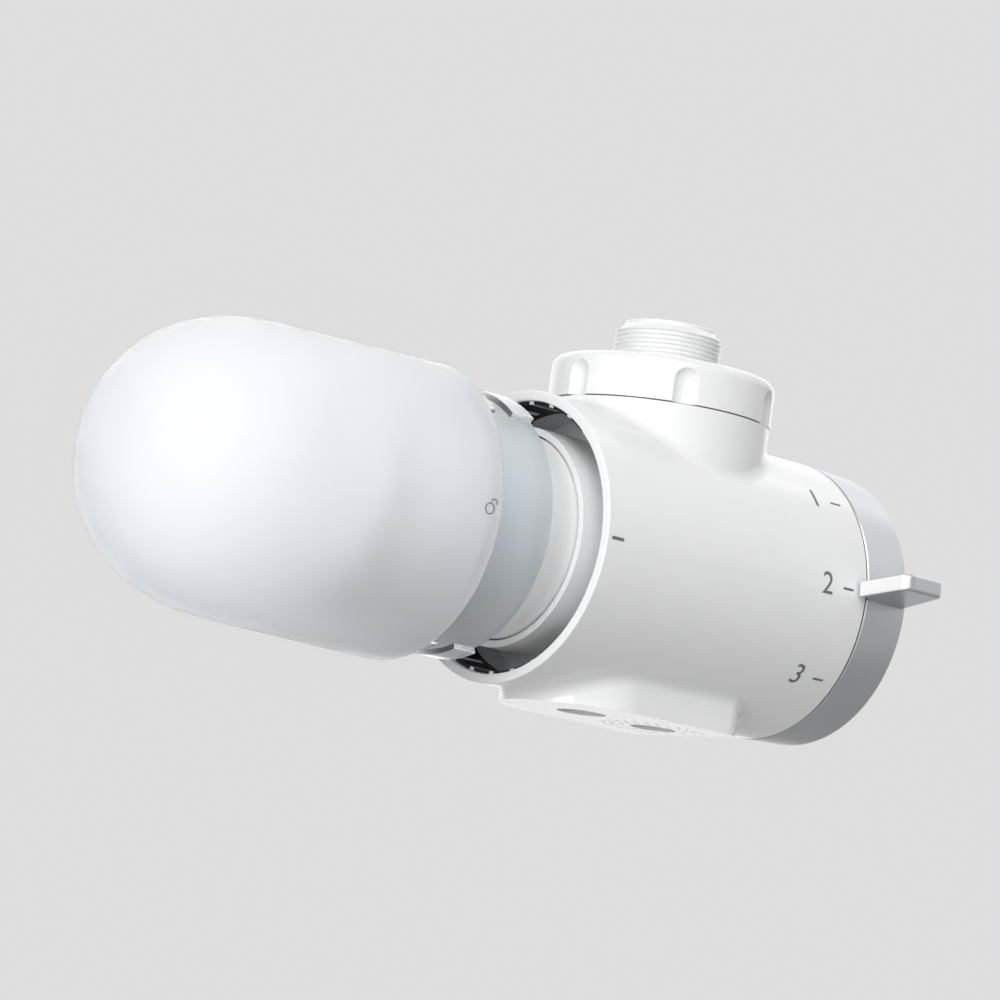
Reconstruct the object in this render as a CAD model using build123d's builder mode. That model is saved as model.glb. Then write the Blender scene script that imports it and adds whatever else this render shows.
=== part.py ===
from build123d import *
from math import cos, pi, radians, sin
import os

os.makedirs("parts", exist_ok=True)

# Faucet-mounted water filter: a tube-shaped body that hangs from the faucet by its inlet thread,
# a three-way dial at one end, and at the other a plug-in cartridge under a twist-off cover.
# The origin is the base of the inlet thread. +Z runs up the thread, +X along the body to the dial.
# The cover is drawn off the body by cover_pull. All sizes are in millimetres.

# Clearances
sliding_gap = 0.3
face_gap = 0.1
shaft_gap = 0.05
seat_gap = 0.05
seam_gap = 0.35

# Inlet adapter, nut and seals
thread_radius = 12.0
thread_length = 7.6
relief_depth = 0.4
lead_step = 1.9
lead_cone = 1.1
lead_length = 2.0
adapter_wall = 3.5
flange_width = 5.0
flange_thickness = 2.6
slip_washer_thickness = 0.8
slip_washer_width = 5.0
nut_radius = 25.0
nut_height = 10.2
nut_lip = 2.6
nut_round = 2.4
nut_hole_gap = 0.6
grip_count = 6
grip_width = 5.9
grip_depth = 1.5
grip_land = 2.3
neck_wall = 2.8
washer_thickness = 2.2
washer_inset = 1.4
screen_thickness = 0.6
screen_hole_radius = 0.6
screen_rings = 3
screen_pitch = 2.1
screen_ledge = 1.2
inlet_well_depth = 5.0

# Body
body_radius = 32.5
body_draft = 0.7
mouth_to_inlet = 39.1
inlet_to_seam = 40.2
mouth_wall = 2.25
rim_round = 0.35
seam_chamfer = 0.25
bay_wall = 2.4
boss_inset = 0.2
boss_height = 1.8
boss_blend = 4.0
bulkhead_wall = 3.0

# Outlet pad under the body, with its plate
pad_height = 1.7
pad_half_width = 18.4
pad_end_reach = 10.8
pad_corner = 5.2
pad_blend = 3.0
pad_wall = 2.0
outlet_offset = 10.85
purified_hole = 5.5
tap_hole = 5.15
tap_tube_wall = 0.9
tap_well_depth = 4.0
plate_thickness = 2.2
gasket_thickness = 1.0
gasket_width = 1.2
spray_hole_radius = 0.45
spray_rows = 3
spray_row_pitch = 2.0
spray_hole_pitch = 2.5
spray_margin = 1.2
strainer_thickness = 1.4
strainer_hole_radius = 0.5
strainer_rings = 2
strainer_pitch = 1.8
plug_radius = 2.3
plug_height = 2.2
plug_lift = 4.4
plug_offset = 12.0

# Mouth and bayonet
sleeve_wall = 0.65
collar_wall = 2.2
collar_length = 17.8
collar_room = 2.2
collar_slip = 1.3
lug_height = 1.25
lug_angle = 9.5
lug_half_angle = 27.5
lug_length = 6.0
lug_side_gap = 1.5
flange_depth = 4.0
sleeve_start = 1.2
rib_count = 28
rib_width = 1.4
rib_length = 8.0
rib_phase = 1.0
cover_seal_thickness = 0.9

# Cover
cover_pull = 30.1
cover_proud = 0.1
cover_draft = 0.65
cover_straight = 42.8
cover_nose = 36.5
cover_wall = 2.2
cover_round = 0.7
nose_power = 2.4
nose_steps = 9
nose_spacing = 0.6

# Cartridge
can_wall = 1.6
can_reach = 57.0
can_round = 3.0
can_slot_count = 24
can_slot_width = 1.2
can_slot_length = 9.0
socket_gap = 0.4
socket_wall = 1.5
socket_floor = 2.5
spigot_radius = 7.0
spigot_wall = 1.8
cap_standoff = 1.0
cap_thickness = 3.0
wrap_gap = 1.5
wrap_thickness = 3.0
core_radius = 5.0
core_wall = 1.5
block_gasket_thickness = 1.5
core_hole_radius = 0.8
core_hole_rows = 7
o_ring_section = 1.4
o_ring_pitch = 2.4
socket_proud = 0.2

# Valve
hub_wall = 5.0
riser_wall = 3.0
inlet_port = 4.5
purified_port = 3.2
tap_port = 4.0
shower_port = 2.0
feed_port = 2.2
feed_margin = 1.0
rotor_wall = 1.2
chamber_radius = 14.0
chamber_wall = 3.0
dial_bay = 9.3
stem_radius = 5.0
stem_flat = 1.4
valve_cover_thickness = 3.0
valve_cover_rim = 5.0
screw_count = 3
screw_radius = 1.25
screw_length = 9.0
screw_head_radius = 2.4
screw_head_height = 2.0
screw_boss_wall = 1.75
screw_boss_length = 12.0

# Dial and lever
dial_width = 13.05
dial_draft = 0.6
dial_wall = 1.9
dial_face = 2.2
dial_round = 0.9
lip_length = 2.7
lip_wall = 1.6
hub_bush_wall = 3.5
dial_web = 2.0
dial_cap_radius = 6.5
dial_cap_thickness = 1.2
lever_angle = 4.0
lever_thickness = 3.8
lever_reach = 18.3
lever_overhang = 3.2
lever_flare = 3.2
lever_clearance = 0.8
lever_tip_width = 11.5
lever_tip_round = 2.2
lever_edge_round = 0.7

# Heights down the inlet stack
nut_top = -sliding_gap
nut_bottom = nut_top - nut_height
boss_top = nut_bottom - sliding_gap
lip_bottom = nut_top - nut_lip
slip_top = lip_bottom - face_gap
slip_bottom = slip_top - slip_washer_thickness
flange_top = slip_bottom - face_gap
flange_bottom = flange_top - flange_thickness
washer_bottom = flange_bottom - washer_thickness
body_z = boss_top - boss_height - body_radius
pad_bottom = body_z - body_radius - pad_height
plate_top = pad_bottom + plate_thickness
gasket_top = plate_top + gasket_thickness
strainer_bottom = gasket_top + tap_well_depth - strainer_thickness

# Radii of the inlet stack
adapter_bore = thread_radius - adapter_wall
lead_radius = thread_radius - lead_step
nut_hole = thread_radius + nut_hole_gap
flange_radius = thread_radius + flange_width
washer_bore = adapter_bore + face_gap
well_radius = adapter_bore - screen_ledge
washer_radius = flange_radius - washer_inset
neck_radius = flange_radius + neck_wall
nut_bore = neck_radius + sliding_gap
boss_radius = nut_radius - boss_inset

# Stations along the body
mouth_x = -mouth_to_inlet
seam_x = inlet_to_seam
bulkhead_x = mouth_x + collar_length + collar_room
socket_floor_x = bulkhead_x - socket_floor
purified_x = -outlet_offset
tap_x = outlet_offset
pad_end_x = tap_x + pad_end_reach
plenum_end_x = pad_end_x - pad_wall - gasket_width
chamber_x = -inlet_port - rotor_wall
chamber_end_x = seam_x - dial_bay
pocket_end_x = purified_x + purified_port
shoulder_x = mouth_x - cover_pull
collar_end_x = shoulder_x + collar_length
straight_end_x = shoulder_x - cover_straight
cover_travel = cover_pull - sliding_gap
lug_x = collar_end_x - lug_length
flange_end_x = lug_x + cover_travel - sliding_gap
flange_x = flange_end_x - flange_depth
lug_root_end_x = flange_x - cover_travel - sliding_gap
can_end_x = mouth_x - can_reach
cap_x = socket_floor_x - cap_standoff
cap_front_x = cap_x - cap_thickness
spigot_end_x = purified_x - purified_port - face_gap
valve_cover_x = chamber_end_x + valve_cover_thickness
dial_x = seam_x + seam_gap
dial_end_x = dial_x + dial_width
cap_seat_x = dial_end_x - dial_cap_thickness
screw_seat_x = cap_seat_x - screw_head_height - face_gap
stem_end_x = screw_seat_x - dial_web

block_x = can_end_x + can_wall + block_gasket_thickness
block_end_x = cap_front_x - block_gasket_thickness
lug_root_x = shoulder_x + cover_seal_thickness + 2 * face_gap
lever_tip_x = dial_x - lever_overhang - lever_flare
spigot_mid_x = (bulkhead_x + spigot_end_x) / 2
spigot_ring_stations = (spigot_mid_x - o_ring_pitch / 2, spigot_mid_x + o_ring_pitch / 2)
rotor_ring_stations = ((inlet_port + tap_x - tap_port) / 2, chamber_end_x - o_ring_pitch)

# Radii about the body axis
body_end_radius = body_radius - body_draft
dial_end_radius = body_end_radius - dial_draft
cover_radius = body_radius + cover_proud
cover_end_radius = cover_radius - cover_draft
mouth_radius = body_radius - mouth_wall
rib_foot = mouth_radius + rim_round
sleeve_radius = mouth_radius - seat_gap - sleeve_wall
lug_radius = sleeve_radius - sliding_gap
collar_radius = lug_radius - lug_height
flange_bore = collar_radius + sliding_gap
socket_radius = collar_radius - collar_wall - collar_slip
socket_bore = socket_radius - socket_wall
can_radius = socket_bore - socket_gap
bay_radius = body_end_radius - bay_wall
dial_bore = dial_end_radius - dial_wall
lip_radius = dial_bore - sliding_gap
hub_radius = spigot_radius + seat_gap + hub_wall
rotor_radius = chamber_radius - shaft_gap
plenum_radius = tap_hole + tap_tube_wall + spray_rows * spray_row_pitch + spray_margin
screw_circle = chamber_radius + chamber_wall + screw_radius
feed_offset = chamber_radius - feed_port - feed_margin

wrap_radius = can_radius - can_wall - wrap_gap
block_radius = wrap_radius - wrap_thickness
seal_radius = chamber_radius + chamber_wall / 2
lever_root = body_end_radius + lever_clearance
lever_tip = body_end_radius + lever_reach

body_axis = Axis((0, 0, body_z), (1, 0, 0))
body_section = Plane((0, 0, body_z), x_dir=(1, 0, 0), z_dir=(0, -1, 0))
body_level = Plane.XY.offset(body_z)
lever_down = (0, -sin(radians(lever_angle)), -cos(radians(lever_angle)))
lever_plane = Plane((0, 0, body_z), x_dir=(1, 0, 0), z_dir=lever_down)


def across(x):
    # Plane square to the body axis that faces the dial, with local X to the back and local Y up
    return Plane((x, 0, body_z), x_dir=(0, 1, 0), z_dir=(1, 0, 0))


def outlet_outline(inset):
    # Pad outline, round at the purified outlet and square at the dial end
    half_width = pad_half_width - inset
    square_length = pad_end_x - inset - purified_x
    with Locations((purified_x, 0)):
        Circle(half_width)
    with Locations((purified_x + square_length / 2, 0)):
        Rectangle(square_length, 2 * half_width)


def nose_point(share, length, radius):
    # Rounded nose between a cone and a flat tip, share runs from 0 at its base to 1 at its tip
    return (straight_end_x - length * share, radius * (1 - share**nose_power) ** (1 / nose_power))


def nose_curve(length, radius):
    shares = [(step / nose_steps) ** nose_spacing for step in range(nose_steps + 1)]
    points = [nose_point(share, length, radius) for share in shares]
    return Spline(points, tangents=[(-1, 0), (0, -1)])


def lug_sectors(inner, outer, half_angle):
    # Two opposite ring sectors, centred where the bayonet lugs are
    with BuildSketch(mode=Mode.PRIVATE) as sectors:
        for centre in (90 + lug_angle, 270 + lug_angle):
            with BuildLine():
                outer_arc = CenterArc((0, 0), outer, centre - half_angle, 2 * half_angle)
                inner_arc = CenterArc((0, 0), inner, centre - half_angle, 2 * half_angle)
                Line(outer_arc @ 0, inner_arc @ 0)
                Line(outer_arc @ 1, inner_arc @ 1)
            make_face()
    return sectors.sketch


def ring_of_holes(hole_radius, pitch, rings):
    # A centre hole and rings of six, twelve and so on round it
    Circle(hole_radius, mode=Mode.SUBTRACT)
    for ring in range(1, rings + 1):
        with PolarLocations(ring * pitch, 6 * ring):
            Circle(hole_radius, mode=Mode.SUBTRACT)


def spray_points():
    # Rings of spray holes round the tap outlet, left out where they would meet the gasket
    edge_x = plenum_end_x - spray_hole_radius
    points = []
    for row in range(spray_rows):
        radius = tap_hole + tap_tube_wall + spray_margin + row * spray_row_pitch
        count = round(2 * pi * radius / spray_hole_pitch)
        for step in range(count):
            turn = 2 * pi * step / count
            point = (tap_x + radius * cos(turn), radius * sin(turn))
            if point[0] < edge_x:
                points.append(point)
    return points


with BuildPart() as housing:
    # Tapered tube, inlet boss and outlet pad
    with BuildSketch(body_section):
        with BuildLine():
            Polyline(
                (mouth_x, 0), (mouth_x, body_radius), (seam_x, body_end_radius), (seam_x, 0), close=True
            )
        make_face()
    revolve(axis=body_axis)
    with BuildSketch(body_level):
        Circle(boss_radius)
    extrude(amount=boss_top - body_z)
    fillet(housing.edges(Select.NEW), boss_blend)
    with BuildSketch(body_level) as pad:
        outlet_outline(0)
        fillet(pad.vertices().group_by(Axis.X)[-1], pad_corner)
    extrude(amount=pad_bottom - body_z - 2 * pad_blend)
    fillet(housing.edges(Select.NEW), pad_blend)
    with BuildSketch(Plane.XY.offset(pad_bottom)):
        with Locations((purified_x, 0)):
            Rectangle(4 * body_radius, 4 * body_radius)
    extrude(amount=-3 * pad_blend, mode=Mode.SUBTRACT)
    # Round plug on the end wall of the pad
    with BuildSketch(across(pad_end_x - pad_corner)):
        with Locations((-plug_offset, pad_bottom - body_z + plug_lift)):
            Circle(plug_radius)
    extrude(amount=pad_corner + plug_height)
    # Neck that the nut screws on
    with BuildSketch(Plane.XY.offset(boss_top)):
        Circle(neck_radius)
    extrude(amount=flange_bottom - boss_top)
    # Mouth, valve bay and the locating lip for the dial
    with BuildSketch(across(mouth_x)):
        Circle(mouth_radius)
    extrude(amount=bulkhead_x - mouth_x, mode=Mode.SUBTRACT)
    with BuildSketch(across(bulkhead_x + bulkhead_wall)):
        Circle(bay_radius)
    extrude(amount=seam_x - bulkhead_x - bulkhead_wall, mode=Mode.SUBTRACT)
    with BuildSketch(across(seam_x - lip_length)):
        Circle(body_end_radius - seam_gap)
        Circle(lip_radius - lip_wall, mode=Mode.SUBTRACT)
    extrude(amount=lip_length)
    with BuildSketch(across(seam_x)):
        Circle(lip_radius)
        Circle(lip_radius - lip_wall, mode=Mode.SUBTRACT)
    extrude(amount=lip_length)
    # Hub for the spigot, valve chamber and screw bosses
    with BuildSketch(across(bulkhead_x)):
        Circle(hub_radius)
    extrude(amount=chamber_x - bulkhead_x)
    with BuildSketch(across(chamber_x - chamber_wall)):
        Circle(chamber_radius + chamber_wall)
    extrude(amount=chamber_end_x - chamber_x + chamber_wall)
    with BuildSketch(across(chamber_end_x)):
        with PolarLocations(screw_circle, screw_count, start_angle=90):
            Circle(screw_radius + screw_boss_wall)
    extrude(amount=-screw_boss_length)
    # Risers from the valve to the outlets, the shower way and the inlet
    with BuildSketch(body_level):
        with Locations((purified_x, 0)):
            Circle(purified_port + riser_wall)
        with Locations((tap_x, 0)):
            Circle(tap_port + riser_wall)
        with Locations((tap_x, tap_port + riser_wall + shower_port)):
            Circle(shower_port + riser_wall / 2)
    extrude(amount=gasket_top - body_z)
    with BuildSketch(body_level):
        Circle(inlet_port + riser_wall)
    extrude(amount=boss_top - body_z)
    # Feed tube from the chamber to the cartridge side
    with BuildSketch(across(bulkhead_x)):
        with Locations((0, feed_offset)):
            Circle(feed_port + riser_wall / 2)
    extrude(amount=chamber_x - bulkhead_x)
    # Bores
    with BuildSketch(across(chamber_x)):
        Circle(chamber_radius)
    extrude(amount=chamber_end_x - chamber_x, mode=Mode.SUBTRACT)
    with BuildSketch(across(bulkhead_x)):
        Circle(spigot_radius + seat_gap)
    extrude(amount=pocket_end_x - bulkhead_x, mode=Mode.SUBTRACT)
    with BuildSketch(across(bulkhead_x)):
        with Locations((0, feed_offset)):
            Circle(feed_port)
    extrude(amount=chamber_x + feed_port - bulkhead_x, mode=Mode.SUBTRACT)
    with BuildSketch(across(chamber_end_x)):
        with PolarLocations(screw_circle, screw_count, start_angle=90):
            Circle(screw_radius)
    extrude(amount=valve_cover_thickness - screw_length, mode=Mode.SUBTRACT)
    with BuildSketch(body_level):
        with Locations((purified_x, 0)):
            Circle(purified_port)
        with Locations((tap_x, 0)):
            Circle(tap_port)
        with Locations((tap_x, tap_port + riser_wall + shower_port)):
            Circle(shower_port)
    extrude(amount=gasket_top - body_z, mode=Mode.SUBTRACT)
    with BuildSketch(body_level):
        Circle(inlet_port)
    extrude(amount=flange_bottom - body_z, mode=Mode.SUBTRACT)
    with BuildSketch(Plane.XY.offset(flange_bottom)):
        Circle(washer_radius)
    extrude(amount=-washer_thickness, mode=Mode.SUBTRACT)
    with BuildSketch(Plane.XY.offset(washer_bottom)):
        Circle(well_radius)
    extrude(amount=-inlet_well_depth, mode=Mode.SUBTRACT)
    # Well for the tap strainer, and the recess for the outlet plate and its gasket
    with BuildSketch(Plane.XY.offset(gasket_top)):
        with Locations((tap_x, 0)):
            Circle(tap_hole)
    extrude(amount=tap_well_depth, mode=Mode.SUBTRACT)
    with BuildSketch(Plane.XY.offset(pad_bottom)) as recess:
        outlet_outline(pad_wall)
        fillet(recess.vertices().group_by(Axis.X)[-1], pad_corner - pad_wall)
    extrude(amount=plate_thickness + gasket_thickness, mode=Mode.SUBTRACT)
    # Keys inside the mouth that hold the bayonet ring
    with BuildSketch(across(mouth_x + sleeve_start)):
        with PolarLocations((sleeve_radius + rib_foot) / 2, rib_count, start_angle=rib_phase):
            Rectangle(rib_foot - sleeve_radius, rib_width)
    extrude(amount=rib_length)
    fillet(housing.edges().filter_by(GeomType.CIRCLE).group_by(Axis.X)[0], rim_round)
    seam_edges = housing.edges().filter_by(GeomType.CIRCLE).filter_by_position(Axis.X, seam_x, seam_x)
    chamfer(seam_edges.sort_by(SortBy.RADIUS)[-1], seam_chamfer)

with BuildPart() as bayonet_ring:
    # Thin sleeve with slots for the keys, and a flange that is open where the lugs pass
    with BuildSketch(across(mouth_x + sleeve_start)):
        Circle(mouth_radius - seat_gap)
        Circle(sleeve_radius, mode=Mode.SUBTRACT)
    extrude(amount=flange_end_x - mouth_x - sleeve_start)
    with BuildSketch(across(flange_x)):
        Circle(mouth_radius - seat_gap)
        Circle(flange_bore, mode=Mode.SUBTRACT)
    extrude(amount=flange_depth)
    with BuildSketch(across(flange_x)):
        add(lug_sectors(flange_bore - lug_height, sleeve_radius, lug_half_angle + lug_side_gap))
    extrude(amount=flange_depth, mode=Mode.SUBTRACT)
    with BuildSketch(across(mouth_x + sleeve_start)):
        with PolarLocations(sleeve_radius, rib_count, start_angle=rib_phase):
            Rectangle(2 * mouth_wall, rib_width + 2 * seat_gap)
    extrude(amount=rib_length + seat_gap, mode=Mode.SUBTRACT)

with BuildPart() as cartridge_socket:
    with BuildSketch(across(mouth_x - socket_proud)):
        Circle(socket_radius)
    extrude(amount=bulkhead_x - mouth_x + socket_proud)
    with BuildSketch(across(mouth_x - socket_proud)):
        Circle(socket_bore)
    extrude(amount=socket_floor_x - mouth_x + socket_proud, mode=Mode.SUBTRACT)
    with BuildSketch(across(socket_floor_x)):
        Circle(spigot_radius + seat_gap)
        with Locations((0, feed_offset)):
            Circle(feed_port)
    extrude(amount=socket_floor, mode=Mode.SUBTRACT)

with BuildPart() as inlet_adapter:
    with BuildSketch(Plane.XZ):
        with BuildLine():
            Polyline(
                (adapter_bore, flange_bottom),
                (flange_radius, flange_bottom),
                (flange_radius, flange_top),
                (thread_radius - relief_depth, flange_top),
                (thread_radius - relief_depth, 0),
                (thread_radius, 0),
                (thread_radius, thread_length),
                (lead_radius, thread_length + lead_cone),
                (lead_radius, thread_length + lead_length),
                (adapter_bore, thread_length + lead_length),
                close=True,
            )
        make_face()
    revolve(axis=Axis.Z)
    chamfer(inlet_adapter.edges().group_by(Axis.Z)[-1], relief_depth)

with BuildPart() as inlet_washer:
    with BuildSketch(Plane.XY.offset(washer_bottom)):
        Circle(washer_radius - seat_gap)
        Circle(washer_bore, mode=Mode.SUBTRACT)
    extrude(amount=washer_thickness)

with BuildPart() as inlet_screen:
    with BuildSketch(Plane.XY.offset(washer_bottom)):
        Circle(washer_bore - seat_gap)
        ring_of_holes(screen_hole_radius, screen_pitch, screen_rings)
    extrude(amount=screen_thickness)

with BuildPart() as slip_washer:
    with BuildSketch(Plane.XY.offset(slip_bottom)):
        Circle(nut_hole + slip_washer_width)
        Circle(nut_hole, mode=Mode.SUBTRACT)
    extrude(amount=slip_washer_thickness)

with BuildPart() as swivel_nut:
    with BuildSketch(Plane.XZ):
        with BuildLine():
            Polyline(
                (nut_bore, nut_bottom),
                (nut_radius, nut_bottom),
                (nut_radius, nut_top),
                (nut_hole, nut_top),
                (nut_hole, lip_bottom),
                (nut_bore, lip_bottom),
                close=True,
            )
        make_face()
    revolve(axis=Axis.Z)
    fillet(swivel_nut.edges().group_by(Axis.Z)[-1].sort_by(SortBy.RADIUS)[-1], nut_round)
    # Finger scoops, open at the bottom and round at the top
    scoop_radius = (grip_width**2 / 4 + grip_depth**2) / (2 * grip_depth)
    scoop_top = nut_top - grip_land - grip_width / 2
    with BuildSketch(Plane.XY.offset(nut_bottom)):
        with PolarLocations(nut_radius - grip_depth + scoop_radius, grip_count):
            Circle(scoop_radius)
    extrude(amount=scoop_top - nut_bottom, mode=Mode.SUBTRACT)
    with Locations((0, 0, scoop_top)):
        with PolarLocations(nut_radius - grip_depth + scoop_radius, grip_count):
            Sphere(scoop_radius, mode=Mode.SUBTRACT)

with BuildPart() as outlet_plate:
    with BuildSketch(Plane.XY.offset(pad_bottom)) as plate_outline:
        outlet_outline(pad_wall + seat_gap)
        fillet(plate_outline.vertices().group_by(Axis.X)[-1], pad_corner - pad_wall - seat_gap)
    extrude(amount=plate_thickness)
    with BuildSketch(Plane.XY.offset(plate_top)):
        with Locations((tap_x, 0)):
            Circle(tap_hole + tap_tube_wall)
    extrude(amount=gasket_thickness)
    with BuildSketch(Plane.XY.offset(pad_bottom)):
        with Locations((purified_x, 0)):
            Circle(purified_hole)
        with Locations((tap_x, 0)):
            Circle(tap_hole)
        with Locations(spray_points()):
            Circle(spray_hole_radius)
    extrude(amount=plate_thickness + gasket_thickness, mode=Mode.SUBTRACT)

with BuildPart() as outlet_gasket:
    with BuildSketch(Plane.XY.offset(plate_top)) as gasket_outline:
        outlet_outline(pad_wall + seat_gap)
        fillet(gasket_outline.vertices().group_by(Axis.X)[-1], pad_corner - pad_wall - seat_gap)
        with Locations((purified_x, 0)):
            Circle(purified_hole, mode=Mode.SUBTRACT)
    extrude(amount=gasket_thickness)
    # Room over the spray holes, closed towards the dial
    with BuildSketch(Plane.XY.offset(plate_top)):
        with Locations((tap_x, 0)):
            Circle(plenum_radius)
        with Locations((plenum_end_x - plenum_radius, 0)):
            Rectangle(2 * plenum_radius, 2 * plenum_radius, mode=Mode.INTERSECT)
    extrude(amount=gasket_thickness, mode=Mode.SUBTRACT)

with BuildPart() as tap_strainer:
    with BuildSketch(Plane.XY.offset(strainer_bottom)):
        with Locations((tap_x, 0)):
            Circle(tap_hole - seat_gap)
            ring_of_holes(strainer_hole_radius, strainer_pitch, strainer_rings)
    extrude(amount=strainer_thickness)

with BuildPart() as cartridge_can:
    with BuildSketch(across(can_end_x)):
        Circle(can_radius)
    extrude(amount=cap_front_x - can_end_x)
    fillet(cartridge_can.edges().group_by(Axis.X)[0], can_round)
    with BuildSketch(across(can_end_x + can_wall)):
        Circle(can_radius - can_wall)
    extrude(amount=cap_front_x - can_end_x - can_wall, mode=Mode.SUBTRACT)
    # Water slots round the closed end
    with BuildSketch(across(can_end_x + can_round + can_slot_width)):
        with PolarLocations(can_radius, can_slot_count):
            Rectangle(4 * can_wall, can_slot_width)
    extrude(amount=can_slot_length, mode=Mode.SUBTRACT)

with BuildPart() as cartridge_cap:
    with BuildSketch(across(cap_front_x)):
        Circle(can_radius)
    extrude(amount=cap_thickness)
    with BuildSketch(across(cap_x)):
        Circle(spigot_radius)
    extrude(amount=spigot_end_x - cap_x)
    with BuildSketch(across(cap_front_x)):
        Circle(spigot_radius - o_ring_section - spigot_wall)
    extrude(amount=spigot_end_x - cap_front_x, mode=Mode.SUBTRACT)
    for o_ring_x in spigot_ring_stations:
        with BuildSketch(across(o_ring_x - o_ring_section / 2 - seat_gap)):
            Circle(spigot_radius + seat_gap)
            Circle(spigot_radius - o_ring_section, mode=Mode.SUBTRACT)
        extrude(amount=o_ring_section + 2 * seat_gap, mode=Mode.SUBTRACT)

with BuildPart() as spigot_o_rings:
    with Locations([(x, 0, body_z) for x in spigot_ring_stations]):
        Torus(spigot_radius - o_ring_section / 2, o_ring_section / 2, rotation=(0, 90, 0))

with BuildPart() as core_tube:
    with BuildSketch(across(block_x)):
        Circle(core_radius)
        Circle(core_radius - core_wall, mode=Mode.SUBTRACT)
    extrude(amount=block_end_x - block_x)
    with BuildSketch(Plane.XY.offset(body_z - core_radius)):
        with Locations(((block_x + block_end_x) / 2, 0)):
            with GridLocations((block_end_x - block_x) / core_hole_rows, 0, core_hole_rows, 1):
                Circle(core_hole_radius)
    extrude(amount=2 * core_radius, mode=Mode.SUBTRACT)

with BuildPart() as carbon_block:
    with BuildSketch(across(block_x)):
        Circle(block_radius)
        Circle(core_radius + seat_gap, mode=Mode.SUBTRACT)
    extrude(amount=block_end_x - block_x)

with BuildPart() as sediment_wrap:
    with BuildSketch(across(block_x)):
        Circle(wrap_radius)
        Circle(block_radius + seat_gap, mode=Mode.SUBTRACT)
    extrude(amount=block_end_x - block_x)

with BuildPart() as block_gaskets:
    for gasket_x in (block_x - block_gasket_thickness, block_end_x):
        with BuildSketch(across(gasket_x)):
            Circle(wrap_radius)
            Circle(core_radius - core_wall, mode=Mode.SUBTRACT)
        extrude(amount=block_gasket_thickness)

with BuildPart() as cover:
    # Dome, shoulder and collar in one wall
    with BuildSketch(body_section):
        with BuildLine():
            outer_nose = nose_curve(cover_nose, cover_end_radius)
            inner_nose = nose_curve(cover_nose - cover_wall, cover_end_radius - cover_wall)
            Line(outer_nose @ 1, inner_nose @ 1)
            Polyline(
                outer_nose @ 0,
                (shoulder_x, cover_radius),
                (shoulder_x, collar_radius),
                (collar_end_x, collar_radius),
                (collar_end_x, collar_radius - collar_wall),
                (shoulder_x - cover_wall, collar_radius - collar_wall),
                (shoulder_x - cover_wall, cover_radius - cover_wall),
                inner_nose @ 0,
            )
        make_face()
    revolve(axis=body_axis)
    fillet(cover.edges().filter_by(GeomType.CIRCLE).sort_by(SortBy.RADIUS)[-1], cover_round)
    # Bayonet lugs: a root block at the shoulder, a groove for the flange, and the lug itself
    with BuildSketch(across(lug_x)):
        add(lug_sectors(collar_radius - collar_wall / 2, lug_radius, lug_half_angle))
    extrude(amount=lug_length)
    with BuildSketch(across(lug_root_x)):
        add(lug_sectors(collar_radius - collar_wall / 2, lug_radius, lug_half_angle))
    extrude(amount=lug_root_end_x - lug_root_x)

with BuildPart() as cover_seal:
    with BuildSketch(across(shoulder_x + face_gap)):
        Circle(mouth_radius - sliding_gap)
        Circle(collar_radius + face_gap, mode=Mode.SUBTRACT)
    extrude(amount=cover_seal_thickness)

with BuildPart() as valve_rotor:
    with BuildSketch(across(chamber_x + face_gap)):
        Circle(rotor_radius)
    extrude(amount=chamber_end_x - chamber_x - 2 * face_gap)
    with BuildSketch(across(chamber_end_x - face_gap)):
        Circle(stem_radius)
    extrude(amount=stem_end_x - chamber_end_x + face_gap)
    # Flat on the stem for the dial, and the hole for its screw
    with BuildSketch(across(valve_cover_x + sliding_gap)):
        with Locations((0, stem_radius)):
            Rectangle(2 * stem_radius, 2 * stem_flat)
    extrude(amount=stem_end_x - valve_cover_x, mode=Mode.SUBTRACT)
    with BuildSketch(across(stem_end_x)):
        Circle(screw_radius + seat_gap)
    extrude(amount=-screw_length, mode=Mode.SUBTRACT)
    # Inlet gallery round the rotor, the ways to the cartridge and along the middle, and the outlet port
    with BuildSketch(across(0)):
        Circle(chamber_radius)
        Circle(rotor_radius - inlet_port, mode=Mode.SUBTRACT)
    extrude(amount=inlet_port - 2 * face_gap, both=True, mode=Mode.SUBTRACT)
    with BuildSketch(across(chamber_x)):
        with Locations((0, feed_offset)):
            Circle(feed_port)
    extrude(amount=inlet_port, mode=Mode.SUBTRACT)
    with BuildSketch(body_level):
        Circle(tap_port)
    extrude(amount=chamber_radius, both=True, mode=Mode.SUBTRACT)
    with BuildSketch(across(0)):
        Circle(tap_port)
    extrude(amount=tap_x, mode=Mode.SUBTRACT)
    with BuildSketch(body_level):
        with Locations((tap_x, 0)):
            Circle(tap_port)
    extrude(amount=-chamber_radius, mode=Mode.SUBTRACT)
    for o_ring_x in rotor_ring_stations:
        with BuildSketch(across(o_ring_x - o_ring_section / 2 - seat_gap)):
            Circle(chamber_radius)
            Circle(rotor_radius - o_ring_section, mode=Mode.SUBTRACT)
        extrude(amount=o_ring_section + 2 * seat_gap, mode=Mode.SUBTRACT)

with BuildPart() as rotor_o_rings:
    with Locations([(x, 0, body_z) for x in rotor_ring_stations]):
        Torus(rotor_radius - o_ring_section / 2, o_ring_section / 2, rotation=(0, 90, 0))

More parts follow.
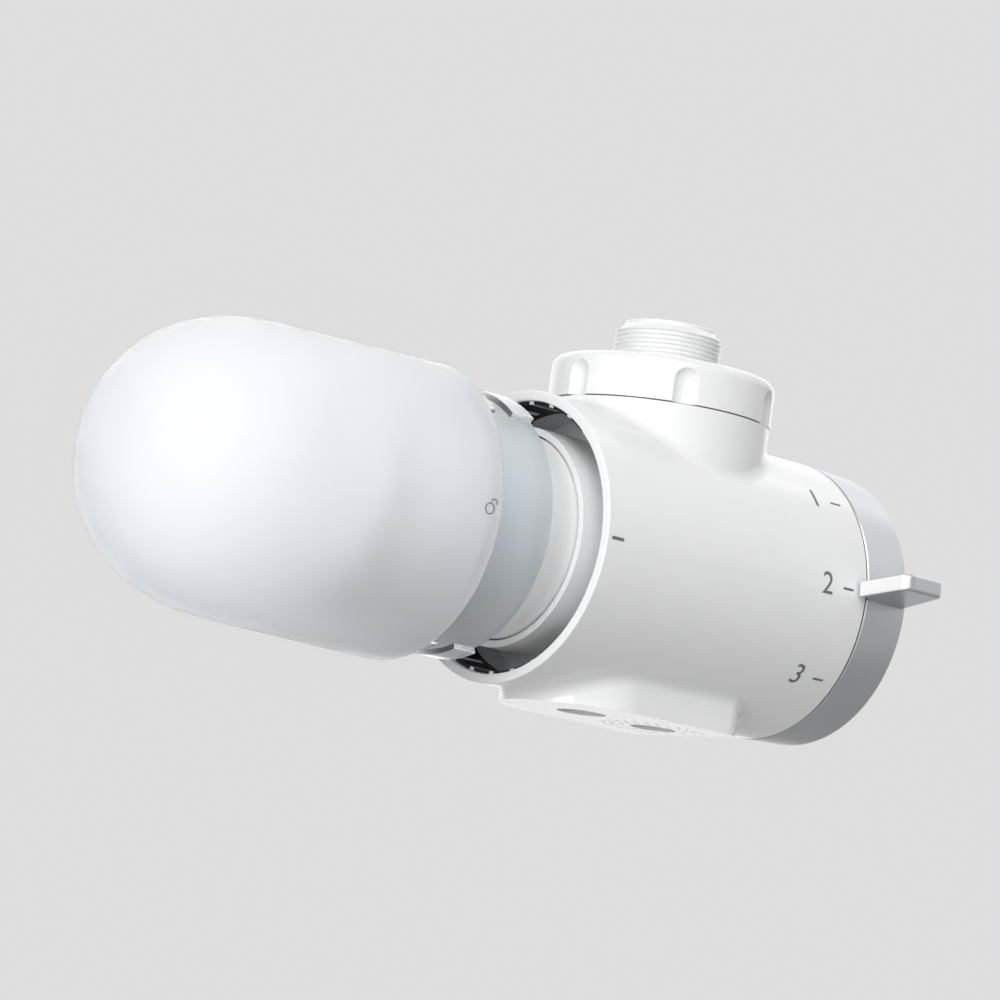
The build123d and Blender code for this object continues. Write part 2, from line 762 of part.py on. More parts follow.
with BuildPart() as valve_cover:
    with BuildSketch(across(chamber_end_x)):
        Circle(screw_circle + valve_cover_rim)
        Circle(stem_radius + shaft_gap, mode=Mode.SUBTRACT)
        with PolarLocations(screw_circle, screw_count, start_angle=90):
            Circle(screw_radius + face_gap, mode=Mode.SUBTRACT)
    extrude(amount=valve_cover_thickness)
    # Groove for the seal that faces the chamber wall
    with BuildSketch(across(chamber_end_x)):
        Circle(seal_radius + o_ring_section / 2 + seat_gap)
        Circle(seal_radius - o_ring_section / 2 - seat_gap, mode=Mode.SUBTRACT)
    extrude(amount=o_ring_section, mode=Mode.SUBTRACT)

with BuildPart() as valve_cover_seal:
    with Locations((chamber_end_x + o_ring_section / 2, 0, body_z)):
        Torus(seal_radius, o_ring_section / 2, rotation=(0, 90, 0))

with BuildPart() as valve_cover_screws:
    with BuildSketch(across(valve_cover_x)):
        with PolarLocations(screw_circle, screw_count, start_angle=90):
            Circle(screw_head_radius)
    extrude(amount=screw_head_height)
    with BuildSketch(across(valve_cover_x)):
        with PolarLocations(screw_circle, screw_count, start_angle=90):
            Circle(screw_radius - seat_gap)
    extrude(amount=seat_gap - screw_length)
    with BuildSketch(across(valve_cover_x + screw_head_height)):
        with PolarLocations(screw_circle, screw_count, start_angle=90):
            Rectangle(screw_head_radius, screw_head_radius / 4)
            Rectangle(screw_head_radius / 4, screw_head_radius)
    extrude(amount=-screw_head_height / 2, mode=Mode.SUBTRACT)

with BuildPart() as selector_dial:
    # Cup-shaped end ring
    with BuildSketch(body_section):
        with BuildLine():
            Polyline(
                (dial_x, 0),
                (dial_x, body_end_radius),
                (dial_end_x, dial_end_radius),
                (dial_end_x, 0),
                close=True,
            )
        make_face()
    revolve(axis=body_axis)
    fillet(selector_dial.edges().group_by(Axis.X)[-1], dial_round)
    chamfer(selector_dial.edges().group_by(Axis.X)[0], seam_chamfer)
    # Lever, which overhangs the seam just clear of the body
    with BuildSketch(lever_plane) as lever_outline:
        with BuildLine():
            Polyline(
                (dial_x, dial_bore + dial_wall / 2),
                (dial_x, lever_root),
                (dial_x - lever_overhang, lever_root),
                (lever_tip_x, lever_tip),
                (lever_tip_x + lever_tip_width, lever_tip),
                (dial_end_x - dial_round, dial_end_radius),
                (dial_end_x - dial_round, dial_bore + dial_wall / 2),
                close=True,
            )
        make_face()
        fillet(lever_outline.vertices().group_by(Axis.Y)[-1], lever_tip_round)
    extrude(amount=lever_thickness / 2, both=True)
    lever_edges = selector_dial.edges().filter_by(lambda edge: edge.center().Y < -lever_root)
    fillet(lever_edges.filter_by(Axis((0, 0, 0), lever_down), reverse=True), lever_edge_round)
    with BuildSketch(across(dial_x)):
        Circle(dial_bore)
    extrude(amount=dial_width - dial_face, mode=Mode.SUBTRACT)
    with BuildSketch(across(valve_cover_x + sliding_gap)):
        Circle(stem_radius + hub_bush_wall)
    extrude(amount=dial_end_x - dial_face - valve_cover_x - sliding_gap)
    # Seats for the cap, the screw head and the stem
    with BuildSketch(across(cap_seat_x)):
        Circle(dial_cap_radius + seat_gap)
    extrude(amount=dial_cap_thickness, mode=Mode.SUBTRACT)
    with BuildSketch(across(screw_seat_x)):
        Circle(screw_head_radius + face_gap)
    extrude(amount=cap_seat_x - screw_seat_x, mode=Mode.SUBTRACT)
    with BuildSketch(across(stem_end_x)):
        Circle(screw_radius + seat_gap)
    extrude(amount=dial_web, mode=Mode.SUBTRACT)
    with BuildSketch(across(valve_cover_x + sliding_gap)):
        Circle(stem_radius + seat_gap)
        with Locations((0, stem_radius + seat_gap)):
            Rectangle(4 * stem_radius, 2 * stem_flat, mode=Mode.SUBTRACT)
    extrude(amount=stem_end_x - valve_cover_x - sliding_gap, mode=Mode.SUBTRACT)

with BuildPart() as dial_screw:
    with BuildSketch(across(screw_seat_x)):
        Circle(screw_head_radius)
    extrude(amount=screw_head_height)
    with BuildSketch(across(screw_seat_x)):
        Circle(screw_radius)
    extrude(amount=-screw_length)
    with BuildSketch(across(screw_seat_x + screw_head_height)):
        Rectangle(screw_head_radius, screw_head_radius / 4)
        Rectangle(screw_head_radius / 4, screw_head_radius)
    extrude(amount=-screw_head_height / 2, mode=Mode.SUBTRACT)

with BuildPart() as dial_cap:
    with BuildSketch(across(cap_seat_x)):
        Circle(dial_cap_radius)
    extrude(amount=dial_cap_thickness)
    fillet(dial_cap.edges().group_by(Axis.X)[-1], dial_cap_thickness / 4)

pieces = {
    "housing": housing,
    "bayonet_ring": bayonet_ring,
    "cartridge_socket": cartridge_socket,
    "inlet_adapter": inlet_adapter,
    "inlet_washer": inlet_washer,
    "inlet_screen": inlet_screen,
    "slip_washer": slip_washer,
    "swivel_nut": swivel_nut,
    "outlet_plate": outlet_plate,
    "outlet_gasket": outlet_gasket,
    "tap_strainer": tap_strainer,
    "cartridge_can": cartridge_can,
    "cartridge_cap": cartridge_cap,
    "spigot_o_rings": spigot_o_rings,
    "core_tube": core_tube,
    "carbon_block": carbon_block,
    "sediment_wrap": sediment_wrap,
    "block_gaskets": block_gaskets,
    "cover": cover,
    "cover_seal": cover_seal,
    "valve_rotor": valve_rotor,
    "rotor_o_rings": rotor_o_rings,
    "valve_cover": valve_cover,
    "valve_cover_seal": valve_cover_seal,
    "valve_cover_screws": valve_cover_screws,
    "selector_dial": selector_dial,
    "dial_screw": dial_screw,
    "dial_cap": dial_cap,
}

for name, piece in pieces.items():
    piece.part.label = name
    export_step(piece.part, f"parts/{name}.step")
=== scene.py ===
import bmesh
import bpy
from math import atan2, cos, pi, sin
from mathutils import Matrix, Vector


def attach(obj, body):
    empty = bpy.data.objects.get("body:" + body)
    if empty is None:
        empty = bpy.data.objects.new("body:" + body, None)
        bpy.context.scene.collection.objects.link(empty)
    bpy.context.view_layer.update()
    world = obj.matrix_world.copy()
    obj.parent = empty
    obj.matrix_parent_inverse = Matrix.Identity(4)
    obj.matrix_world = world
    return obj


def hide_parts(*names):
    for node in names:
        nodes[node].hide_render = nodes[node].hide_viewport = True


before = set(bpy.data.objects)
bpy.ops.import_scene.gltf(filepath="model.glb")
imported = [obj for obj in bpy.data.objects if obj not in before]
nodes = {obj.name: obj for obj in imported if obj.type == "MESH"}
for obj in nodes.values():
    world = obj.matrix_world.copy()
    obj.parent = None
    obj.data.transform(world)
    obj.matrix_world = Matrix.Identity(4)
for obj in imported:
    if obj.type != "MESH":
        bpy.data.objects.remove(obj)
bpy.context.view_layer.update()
scene = bpy.context.scene
mm = 0.001
degree = pi / 180
bodyZ = -45.1 * mm  # the body's axis lies this far under the base of the inlet thread
weld = 0.001 * mm  # points closer than this are one point
print("frame:", len(nodes), "CAD nodes")


def linear(hexColour):
    # sRGB hex to the linear colour that shaders take
    parts = [int(hexColour[i:i + 2], 16) / 255 for i in (1, 3, 5)]
    return [p / 12.92 if p <= 0.04045 else ((p + 0.055) / 1.055) ** 2.4 for p in parts] + [1.0]


def addNode(tree, kind, settings=None, links=None):
    node = tree.nodes.new(kind)
    for name, value in (settings or {}).items():
        if isinstance(name, str) and hasattr(node, name):
            setattr(node, name, value)
        else:
            node.inputs[name].default_value = value
    for name, source in (links or {}).items():
        tree.links.new(source, node.inputs[name])
    return node


def newMaterial(name):
    material = bpy.data.materials.new(name)
    material.use_nodes = True
    return material, material.node_tree, material.node_tree.nodes["Principled BSDF"]


def noise(tree, sizeMm, detail, place):
    # noise with features of about this size
    settings = {"Scale": 1 / (sizeMm * mm), "Detail": detail}
    return addNode(tree, "ShaderNodeTexNoise", settings, {"Vector": place}).outputs["Fac"]


def between(tree, limits, value):
    # a value from 0 to 1 spread between two limits
    settings = {"To Min": limits[0], "To Max": limits[1]}
    return addNode(tree, "ShaderNodeMapRange", settings, {"Value": value}).outputs["Result"]


# height of the relief, in mm
relief = {"ripple": 0.1, "grain": 0.02}


def plastic(name, look):
    # moulded plastic: a faint ripple left by the tool, and a gloss that is a little uneven
    material, tree, shader = newMaterial(name)
    place = addNode(tree, "ShaderNodeTexCoord").outputs["Object"]
    ripple = noise(tree, look["rippleMm"], 2.0, place)
    grain = noise(tree, look["grainMm"], 3.0, place)
    shades = {"data_type": "RGBA", 6: linear(look["colour"]), 7: linear(look["shade"])}
    colour = addNode(tree, "ShaderNodeMix", shades, {0: ripple})
    gloss = between(tree, look["roughness"], grain)
    wave = addNode(tree, "ShaderNodeBump", {"Strength": look["ripple"], "Distance": relief["ripple"] * mm},
                   {"Height": ripple})
    pores = addNode(tree, "ShaderNodeBump", {"Strength": look["grain"], "Distance": relief["grain"] * mm},
                    {"Height": grain, "Normal": wave.outputs["Normal"]})
    shader.inputs["IOR"].default_value = look["ior"]
    shader.inputs["Metallic"].default_value = look.get("metallic", 0.0)
    shader.inputs["Coat Weight"].default_value = look.get("coat", 0.0)
    shader.inputs["Coat Roughness"].default_value = 0.08
    shader.inputs["Specular IOR Level"].default_value = look.get("specular", 0.5)
    tree.links.new(colour.outputs[2], shader.inputs["Base Color"])
    tree.links.new(gloss, shader.inputs["Roughness"])
    tree.links.new(pores.outputs["Normal"], shader.inputs["Normal"])
    return material


# ABS from a polished tool: bright, almost neutral white with a wet-looking gloss
whiteAbs = plastic("whiteAbs", {
    "colour": "#f1f1f1", "shade": "#ecedee", "roughness": (0.2, 0.3), "ior": 1.53, "coat": 0.15,
    "rippleMm": 9.0, "ripple": 0.03, "grainMm": 0.6, "grain": 0.03})
# ABS with carbon black from a lightly blasted tool: charcoal, dull sheen on the edges
blackAbs = plastic("blackAbs", {
    "colour": "#131519", "shade": "#0e1013", "roughness": (0.4, 0.52), "ior": 1.53, "specular": 0.2,
    "rippleMm": 5.0, "ripple": 0.03, "grainMm": 0.5, "grain": 0.12})
# Polypropylene: milky white, softer and a little waxier than the ABS
whitePolypropylene = plastic("whitePolypropylene", {
    "colour": "#f4f4f4", "shade": "#f0f1f1", "roughness": (0.38, 0.48), "ior": 1.49,
    "rippleMm": 7.0, "ripple": 0.03, "grainMm": 0.6, "grain": 0.05})
# Silver lacquer on ABS: fine pigment under a satin top coat, cool grey
silverLacquer = plastic("silverLacquer", {
    "colour": "#b9bbbf", "shade": "#b0b2b6", "roughness": (0.32, 0.4), "ior": 1.5, "metallic": 0.9,
    "rippleMm": 8.0, "ripple": 0.02, "grainMm": 0.35, "grain": 0.06})
# Painted light on the lever's leading face: the same satin coat as the silver, painted nearly white as if lit by the
# lamp on the left
paintedLitLacquer = plastic("paintedLitLacquer", {
    "colour": "#f3f3f3", "shade": "#eeeeef", "roughness": (0.25, 0.33), "ior": 1.5, "coat": 0.2,
    "rippleMm": 8.0, "ripple": 0.02, "grainMm": 0.35, "grain": 0.04})
# Acetal, undyed: ivory, slippery and half matt
naturalAcetal = plastic("naturalAcetal", {
    "colour": "#e9e5da", "shade": "#e2ded2", "roughness": (0.3, 0.4), "ior": 1.48,
    "rippleMm": 5.0, "ripple": 0.03, "grainMm": 0.5, "grain": 0.05})
# Moulded rubber: near black, matt with a dusty bloom
blackRubber = plastic("blackRubber", {
    "colour": "#222325", "shade": "#191a1b", "roughness": (0.6, 0.75), "ior": 1.52,
    "rippleMm": 3.0, "ripple": 0.05, "grainMm": 0.3, "grain": 0.2})
# Pressed carbon: black granules in a dull binder
pressedCarbon = plastic("pressedCarbon", {
    "colour": "#1b1b1c", "shade": "#0d0d0e", "roughness": (0.7, 0.9), "ior": 1.5,
    "rippleMm": 2.0, "ripple": 0.4, "grainMm": 0.5, "grain": 0.8})
# Wound fibre: soft white felt with fine threads
woundFibre = plastic("woundFibre", {
    "colour": "#e8e7e2", "shade": "#dcdad3", "roughness": (0.8, 0.95), "ior": 1.45,
    "rippleMm": 1.2, "ripple": 0.5, "grainMm": 0.3, "grain": 0.6})
# Screen print on the body: flat dark grey ink
greyInk = plastic("greyInk", {
    "colour": "#6d6f73", "shade": "#67696d", "roughness": (0.45, 0.55), "ior": 1.5,
    "rippleMm": 2.0, "ripple": 0.02, "grainMm": 0.3, "grain": 0.1})


def stainlessSteel():
    # drawn stainless steel: grey metal with fine streaks along the drawing direction
    material, tree, shader = newMaterial("stainlessSteel")
    place = addNode(tree, "ShaderNodeTexCoord").outputs["Object"]
    along = addNode(tree, "ShaderNodeMapping", {"Scale": (40, 1, 1)}, {"Vector": place})
    streak = noise(tree, 8.0, 3.0, along.outputs["Vector"])
    shader.inputs["Base Color"].default_value = linear("#b9bbbd")
    shader.inputs["Metallic"].default_value = 1.0
    tree.links.new(between(tree, (0.25, 0.45), streak), shader.inputs["Roughness"])
    return material


def clearPlastic(name, look):
    # clear styrene copolymer: see-through with a cool cast, frosted where the tool was blasted
    material, tree, shader = newMaterial(name)
    place = addNode(tree, "ShaderNodeTexCoord").outputs["Object"]
    grain = noise(tree, look["grainMm"], 3.0, place)
    pores = addNode(tree, "ShaderNodeBump", {"Strength": look["grain"], "Distance": relief["grain"] * mm},
                    {"Height": grain})
    shader.inputs["Base Color"].default_value = linear(look["colour"])
    shader.inputs["IOR"].default_value = look["ior"]
    shader.inputs["Transmission Weight"].default_value = look["clear"]
    tree.links.new(between(tree, look["roughness"], grain), shader.inputs["Roughness"])
    tree.links.new(pores.outputs["Normal"], shader.inputs["Normal"])
    return material


steel = stainlessSteel()
# Outside of the dome: blasted to an even white haze
frostedSkin = clearPlastic("frostedSkin", {
    "colour": "#f4f5f7", "clear": 0.62, "ior": 1.22, "roughness": (0.72, 0.8), "grainMm": 0.5, "grain": 0.15})
# Inside of the dome: blasted too, so that only soft shades of the cartridge come through
frostedLining = clearPlastic("frostedLining", {
    "colour": "#f4f6f8", "clear": 1.0, "ior": 1.25, "roughness": (0.74, 0.8), "grainMm": 0.5, "grain": 0.0})
# Collar: clear with a cool haze
collarWall = clearPlastic("collarWall", {
    "colour": "#e8ecef", "clear": 1.0, "ior": 1.3, "roughness": (0.44, 0.52), "grainMm": 0.4, "grain": 0.0})
# Lugs: polished clear
clearWall = clearPlastic("clearWall", {
    "colour": "#eef3f7", "clear": 1.0, "ior": 1.5, "roughness": (0.08, 0.12), "grainMm": 0.8, "grain": 0.0})
# Silicone seal: cloudy and soft
clearSilicone = clearPlastic("clearSilicone", {
    "colour": "#e8ecee", "clear": 0.6, "ior": 1.41, "roughness": (0.3, 0.4), "grainMm": 0.5, "grain": 0.05})

finishes = {
    "housing": whiteAbs, "swivel_nut": whiteAbs, "cartridge_socket": whiteAbs, "outlet_plate": whiteAbs,
    "inlet_adapter": whiteAbs, "bayonet_ring": blackAbs,
    "cartridge_can": whitePolypropylene, "cartridge_cap": whitePolypropylene, "core_tube": whitePolypropylene,
    "selector_dial": silverLacquer, "dial_cap": silverLacquer,
    "valve_rotor": naturalAcetal, "valve_cover": naturalAcetal, "slip_washer": naturalAcetal,
    "tap_strainer": naturalAcetal, "inlet_washer": blackRubber, "outlet_gasket": blackRubber,
    "block_gaskets": blackRubber, "spigot_o_rings": blackRubber, "rotor_o_rings": blackRubber,
    "valve_cover_seal": blackRubber, "inlet_screen": steel, "valve_cover_screws": steel, "dial_screw": steel,
    "carbon_block": pressedCarbon, "sediment_wrap": woundFibre, "cover_seal": clearSilicone, "cover": clearWall,
}
for name, node in nodes.items():
    node.data.materials.clear()
    node.data.materials.append(finishes[name])
print("finishes on", len(finishes), "nodes")


def newPiece(name, mesh, body, materials, stands=()):
    piece = bpy.data.objects.new(name, mesh)
    scene.collection.objects.link(piece)
    for material in materials:
        mesh.materials.append(material)
    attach(piece, body)
    if stands:
        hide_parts(*stands)
    return piece


def meshFrom(bm, name, smooth=True):
    mesh = bpy.data.meshes.new(name)
    bm.to_mesh(mesh)
    bm.free()
    for face in mesh.polygons:
        face.use_smooth = smooth
    return mesh


# Inlet adapter with its fine thread
thread = {"crest": 12.0, "root": 11.4, "pitch": 1.0, "bottom": 0.15, "turns": 7.0, "crestFlat": 0.16,
          "rootWidth": 0.92, "sunk": 0.1, "fade": 0.4, "least": 0.05, "steps": 72}
adapter = {"bore": 8.5, "flange": 17.0, "flangeBottom": -6.5, "flangeTop": -3.9, "relief": 11.6, "threadTop": 7.6,
           "lead": 10.1, "leadBottom": 8.7, "top": 9.6, "edge": 0.3, "sharp": 0.6, "steps": 128}


def threadedAdapter():
    bm = bmesh.new()
    corners = [(adapter["bore"], adapter["flangeBottom"]), (adapter["flange"], adapter["flangeBottom"]),
               (adapter["flange"], adapter["flangeTop"]), (adapter["relief"], adapter["flangeTop"]),
               (adapter["relief"], 0), (thread["root"], 0), (thread["root"], adapter["threadTop"]),
               (adapter["lead"], adapter["leadBottom"]), (adapter["lead"], adapter["top"]),
               (adapter["bore"], adapter["top"])]
    ring = [bm.verts.new((r * mm, 0, z * mm)) for r, z in corners]
    edges = [bm.edges.new((ring[i - 1], ring[i])) for i in range(len(ring))]
    bmesh.ops.spin(bm, geom=ring + edges, axis=(0, 0, 1), cent=(0, 0, 0), angle=2 * pi, steps=adapter["steps"],
                   use_merge=True)
    bmesh.ops.remove_doubles(bm, verts=bm.verts, dist=weld)
    bmesh.ops.recalc_face_normals(bm, faces=bm.faces)
    sharp = [e for e in bm.edges if len(e.link_faces) == 2 and e.calc_face_angle() > adapter["sharp"]]
    bmesh.ops.bevel(bm, geom=sharp, offset=adapter["edge"] * mm, affect="EDGES", segments=3, profile=0.5,
                    material=-1)
    # helical ridge, its ends run out into the root
    foot = thread["root"] - thread["sunk"]
    section = [(foot, -thread["rootWidth"] / 2), (thread["crest"], -thread["crestFlat"] / 2),
               (thread["crest"], thread["crestFlat"] / 2), (foot, thread["rootWidth"] / 2)]
    start = thread["bottom"] + thread["rootWidth"] / 2
    face = bm.faces.new([bm.verts.new((r * mm, 0, (z + start) * mm)) for r, z in section])
    old = set(bm.verts) - set(face.verts)
    steps = round(thread["steps"] * thread["turns"])
    climb = thread["pitch"] * thread["turns"]
    bmesh.ops.spin(bm, geom=list(face.verts) + list(face.edges) + [face], axis=(0, 0, 1), cent=(0, 0, 0),
                   dvec=(0, 0, climb * mm / steps), angle=2 * pi * thread["turns"], steps=steps)
    end = start + climb
    middle = (foot + thread["crest"]) / 2 * mm
    for vert in bm.verts:
        reach = vert.co.xy.length
        if vert not in old and reach > middle:
            share = min(vert.co.z / mm - start, end - vert.co.z / mm) / (thread["fade"] * thread["pitch"])
            want = foot + (thread["crest"] - foot) * min(1, max(thread["least"], share))
            vert.co.xy *= want * mm / reach
    bmesh.ops.recalc_face_normals(bm, faces=bm.faces)
    return meshFrom(bm, "threadedAdapter")


piece = newPiece("threadedAdapter", threadedAdapter(), "body", [whiteAbs], ["inlet_adapter"])
with bpy.context.temp_override(object=piece, active_object=piece, selected_editable_objects=[piece]):
    bpy.ops.object.shade_smooth_by_angle(angle=35 * degree)
print("threaded adapter made")


def mergedCopy(name, source):
    # the triangles of a CAD node joined along their edges, each corner with the normal it had
    old = nodes[source].data
    bm = bmesh.new()
    bm.from_mesh(old)
    origin = bm.faces.layers.int.new("origin")
    for face in bm.faces:
        face[origin] = face.index
    bmesh.ops.remove_doubles(bm, verts=bm.verts, dist=weld)
    mesh = meshFrom(bm, name)
    came = [item.value for item in mesh.attributes["origin"].data]
    mesh.attributes.remove(mesh.attributes["origin"])
    places = [old.vertices[loop.vertex_index].co for loop in old.loops]
    normals = []
    for face in mesh.polygons:
        corners = old.polygons[came[face.index]].loop_indices
        for vert in face.vertices:
            at = mesh.vertices[vert].co
            nearest = min(corners, key=lambda i: (places[i] - at).length)
            normals.append(old.corner_normals[nearest].vector)
    mesh.normals_split_custom_set(normals)
    return mesh


# Cover: the CAD shell with a frosted dome, a hazy collar and clear lugs
shell = {"shoulder": -69.2, "slack": 0.05, "domeCentre": -112.0, "inward": -0.2, "collar": 28.1}


def coverShell():
    mesh = mergedCopy("coverShell", "cover")
    for face in mesh.polygons:
        centre = face.center
        out = Vector((min(0, centre.x - shell["domeCentre"] * mm), centre.y, centre.z - bodyZ)).normalized()
        reach = Vector((centre.y, centre.z - bodyZ)).length
        if centre.x < (shell["shoulder"] + shell["slack"]) * mm:
            face.material_index = 0 if face.normal.dot(out) > shell["inward"] else 3
        else:
            face.material_index = 1 if reach > shell["collar"] * mm else 2
    return mesh


newPiece("coverShell", coverShell(), "cover",
         [frostedSkin, clearWall, collarWall, frostedLining], ["cover"])
print("cover made")

# Bayonet ring: black where the lugs pass, the body's white at the sides
bayonet = {"half": 42.0}


def bayonetRing():
    mesh = mergedCopy("bayonetRing", "bayonet_ring")
    for face in mesh.polygons:
        turn = abs(atan2(face.center.y, abs(face.center.z - bodyZ)))
        face.material_index = 0 if turn < bayonet["half"] * degree else 1
    return mesh


newPiece("bayonetRing", bayonetRing(), "body", [blackAbs, whiteAbs], ["bayonet_ring"])
print("bayonet ring made")

# Selector dial: the CAD ring, with painted light on the face of the lever that leads: a nearly white copy of the
# silver lacquer
lever = {"root": -33.0, "facing": -0.75}


def dialRing():
    mesh = mergedCopy("dialRing", "selector_dial")
    for face in mesh.polygons:
        onLever = face.center.y < lever["root"] * mm
        # lever faces that point to the left get the painted light, the rest keep the silver
        face.material_index = 1 if onLever and face.normal.x < lever["facing"] else 0
    return mesh


newPiece("dialRing", dialRing(), "dial", [silverLacquer, paintedLitLacquer], ["selector_dial"])
print("dial made")

# Print on the body and the cover
marks = {"lift": 0.04, "slice": 0.4}
bodyTaper = {"mouth": -39.1, "radius": 32.5, "loss": 0.7, "length": 79.3}
coverTaper = {"shoulder": -69.2, "radius": 32.6, "loss": 0.65, "length": 42.8}


def bodyRadius(x):
    along = (x / mm - bodyTaper["mouth"]) / bodyTaper["length"]
    return (bodyTaper["radius"] - bodyTaper["loss"] * along) * mm


def coverRadius(x):
    along = (coverTaper["shoulder"] - x / mm) / coverTaper["length"]
    return (coverTaper["radius"] - coverTaper["loss"] * along) * mm


def layOn(radius, bm, x, angle):
    # bends flat artwork round the body or the cover, angle is measured up from the front
    reach = max(abs(v.co.y) for v in bm.verts) / mm
    count = int(reach / marks["slice"]) + 1
    for step in range(-count, count + 1):
        bmesh.ops.bisect_plane(bm, geom=bm.verts[:] + bm.edges[:] + bm.faces[:], dist=1e-7,
                               plane_co=(0, step * marks["slice"] * mm, 0), plane_no=(0, 1, 0))
    bmesh.ops.solidify(bm, geom=bm.faces[:], thickness=2 * marks["lift"] * mm)
    top = max(v.co.z for v in bm.verts)
    for vert in bm.verts:
        r = radius(x + vert.co.x) + vert.co.z - top + marks["lift"] * mm
        turn = angle + vert.co.y / radius(x)
        vert.co = (x + vert.co.x, -r * cos(turn), bodyZ + r * sin(turn))
    bmesh.ops.recalc_face_normals(bm, faces=bm.faces)


def numeral(text, height):
    curve = bpy.data.curves.new("numeral" + text, "FONT")
    curve.body = text
    curve.size = height * mm / 0.7  # figures are 0.7 of the font size high
    curve.align_x = "CENTER"
    curve.align_y = "CENTER"
    flat = bpy.data.objects.new("flat" + text, curve)
    scene.collection.objects.link(flat)
    bpy.context.view_layer.update()
    mesh = bpy.data.meshes.new_from_object(flat.evaluated_get(bpy.context.evaluated_depsgraph_get()))
    bpy.data.objects.remove(flat)
    bm = bmesh.new()
    bm.from_mesh(mesh)
    bmesh.ops.remove_doubles(bm, verts=bm.verts, dist=weld)
    return bm


def dash(length, width):
    # rounded bar
    bm = bmesh.new()
    bmesh.ops.create_grid(bm, x_segments=1, y_segments=1, size=0.5)
    bmesh.ops.scale(bm, vec=(length * mm, width * mm, 1), verts=bm.verts)
    bmesh.ops.bevel(bm, geom=bm.verts[:], offset=width * mm * 0.45, affect="VERTICES", segments=4, profile=0.5,
                    material=-1)
    return bm


def padlock(look):
    # open padlock in outline: a round body with the shackle swung to one side,
    # each arc has a radius, a start, a sweep and a centre
    bm = bmesh.new()
    half = look["line"] / 2
    for part in ("body", "shackle"):
        radius, fromTurn, sweep, across, up = look[part]
        start = Matrix.Rotation(fromTurn * degree, 3, "Z")
        inner, outer = [start @ Vector((r * mm, 0, 0)) for r in (radius - half, radius + half)]
        centre = Vector((across * mm, up * mm, 0))
        verts = [bm.verts.new(centre + inner), bm.verts.new(centre + outer)]
        edge = bm.edges.new(verts)
        bmesh.ops.spin(bm, geom=verts + [edge], axis=(0, 0, 1), cent=centre, angle=sweep * degree, steps=32,
                       use_merge=sweep == 360)
    bmesh.ops.remove_doubles(bm, verts=bm.verts, dist=weld)
    return bm


def printMark(name, bm, body):
    newPiece(name, meshFrom(bm, name, False), body, [greyInk])


dial = {"numbers": {"1": 41, "2": 3, "3": -36}, "x": 28.0, "height": 5.0, "tickX": 34.5, "tick": (3.2, 0.55)}
for text, turn in dial["numbers"].items():
    bm = numeral(text, dial["height"])
    layOn(bodyRadius, bm, dial["x"] * mm, turn * degree)
    printMark("dialNumber" + text, bm, "body")
    bm = dash(*dial["tick"])
    layOn(bodyRadius, bm, dial["tickX"] * mm, turn * degree)
    printMark("dialTick" + text, bm, "body")
lock = {"dashX": -36.0, "dash": (3.6, 0.75), "x": -72.9, "body": (1.15, 0, 360, 0.0, -0.4),
        "shackle": (0.8, -20, 190, 1.0, 0.95), "line": 0.26}
bm = dash(*lock["dash"])
layOn(bodyRadius, bm, lock["dashX"] * mm, 0.0)
printMark("lockMark", bm, "body")
bm = padlock(lock)
layOn(coverRadius, bm, lock["x"] * mm, 0.0)
printMark("unlockMark", bm, "cover")
print("marks made")

# Stage: pale floor far below the hanging filter, even surround, soft lamps
stage = {"floorZ": -0.27, "floorSize": 1.0, "fadeFrom": 0.45, "fill": 0.28, "aim": (-0.04, 0, bodyZ)}
bm = bmesh.new()
bmesh.ops.create_circle(bm, cap_ends=True, segments=96, radius=stage["floorSize"])
bmesh.ops.translate(bm, vec=(0, 0, stage["floorZ"]), verts=bm.verts)
floor = bpy.data.objects.new("floor", meshFrom(bm, "floor", False))
scene.collection.objects.link(floor)
floorPaint, tree, shader = newMaterial("floorPaint")
shader.inputs["Base Color"].default_value = linear("#cacaca")
shader.inputs["Roughness"].default_value = 0.9
place = addNode(tree, "ShaderNodeTexCoord").outputs["Object"]
flat = addNode(tree, "ShaderNodeMapping", {"Scale": (1, 1, 0)}, {"Vector": place})
reach = addNode(tree, "ShaderNodeVectorMath", {"operation": "LENGTH"}, {0: flat.outputs["Vector"]})
rim = {"interpolation_type": "SMOOTHSTEP", "From Min": stage["floorSize"], "From Max": stage["fadeFrom"]}
fade = addNode(tree, "ShaderNodeMapRange", rim, {"Value": reach.outputs["Value"]})
tree.links.new(fade.outputs["Result"], shader.inputs["Alpha"])
floor.data.materials.append(floorPaint)

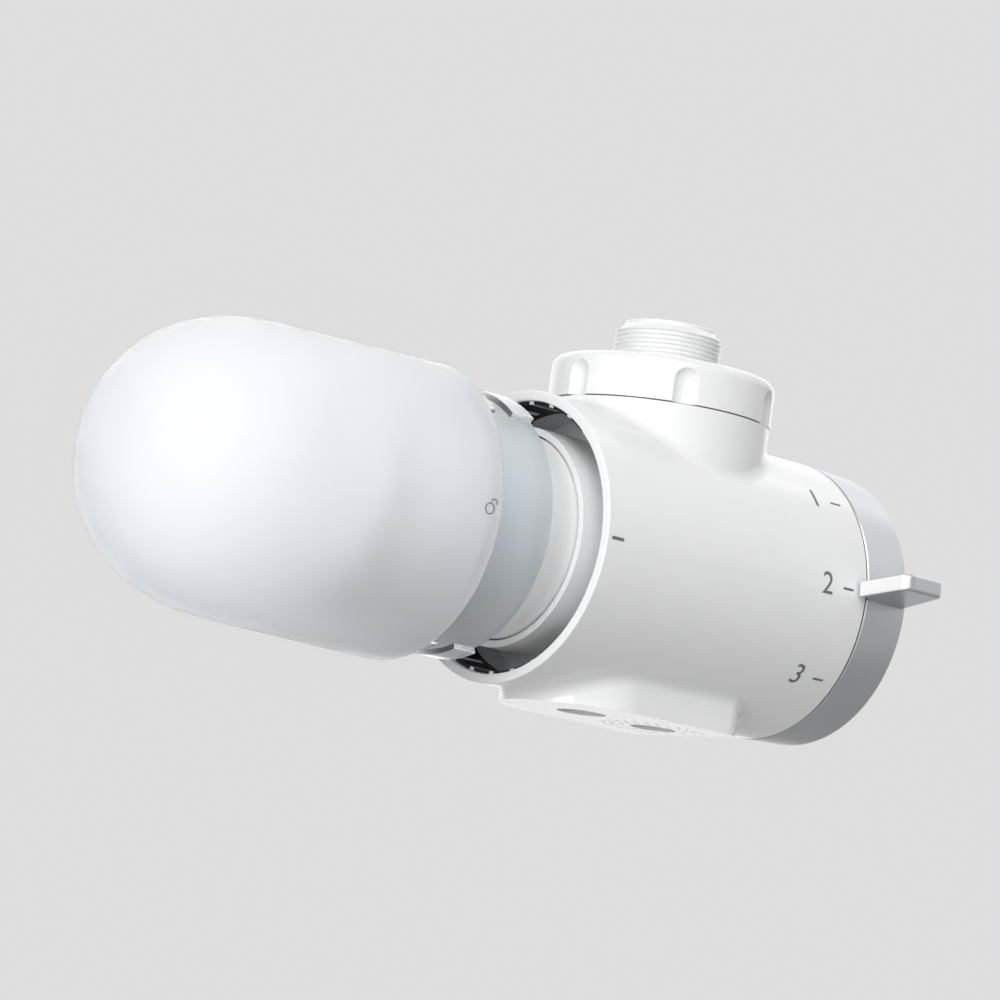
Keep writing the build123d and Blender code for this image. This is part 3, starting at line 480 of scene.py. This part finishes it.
world = bpy.data.worlds.new("surround")
scene.world = world
world.use_nodes = True
tree = world.node_tree
tree.nodes["Background"].inputs["Color"].default_value = linear("#dedede")
ray = addNode(tree, "ShaderNodeLightPath")
seen = ray.outputs["Is Camera Ray"]
for kind in ("Is Glossy Ray", "Is Transmission Ray"):
    seen = addNode(tree, "ShaderNodeMath", {"operation": "MAXIMUM"}, {0: seen, 1: ray.outputs[kind]}).outputs[0]
tree.links.new(between(tree, (stage["fill"], 1.0), seen), tree.nodes["Background"].inputs["Strength"])


def softLamp(name, direction, distance, size, power):
    # square lamp aimed at the filter, lengths in metres and power in watts
    lamp = bpy.data.lights.new(name, "AREA")
    lamp.size = size
    lamp.energy = power
    piece = bpy.data.objects.new(name, lamp)
    away = Vector(direction).normalized()
    piece.location = Vector(stage["aim"]) + away * distance
    piece.rotation_mode = "QUATERNION"
    piece.rotation_quaternion = away.to_track_quat("Z", "Y")
    piece.visible_camera = False
    scene.collection.objects.link(piece)


softLamp("keyLamp", (-0.5, -0.6, 0.55), 1.5, 1.0, 13.0)
softLamp("sideLamp", (-0.9, -0.35, 0.05), 1.5, 0.7, 11.0)
softLamp("topLamp", (0.75, -0.3, 0.6), 1.5, 1.4, 4.0)
softLamp("backLamp", (0.55, 0.7, 0.45), 2.0, 3.0, 24.0)

camera = {"place": (-0.8404, -0.9333, -0.1964), "right": (0.74153, -0.65698, 0.13605),
          "up": (-0.18677, -0.00738, 0.98238), "forward": (0.64439, 0.75388, 0.12818), "lens": 205.03, "sensor": 36.0,
          "farthest": 20.0}
lens = bpy.data.cameras.new("camera")
lens.lens = camera["lens"]
lens.sensor_width = camera["sensor"]
lens.clip_end = camera["farthest"]
view = bpy.data.objects.new("camera", lens)
scene.collection.objects.link(view)
axes = Matrix((camera["right"], camera["up"], -Vector(camera["forward"]))).transposed()
view.matrix_world = Matrix.Translation(camera["place"]) @ axes.to_4x4()
scene.camera = view
scene.view_settings.view_transform = "Standard"
print("stage set")

bpy.context.view_layer.update()
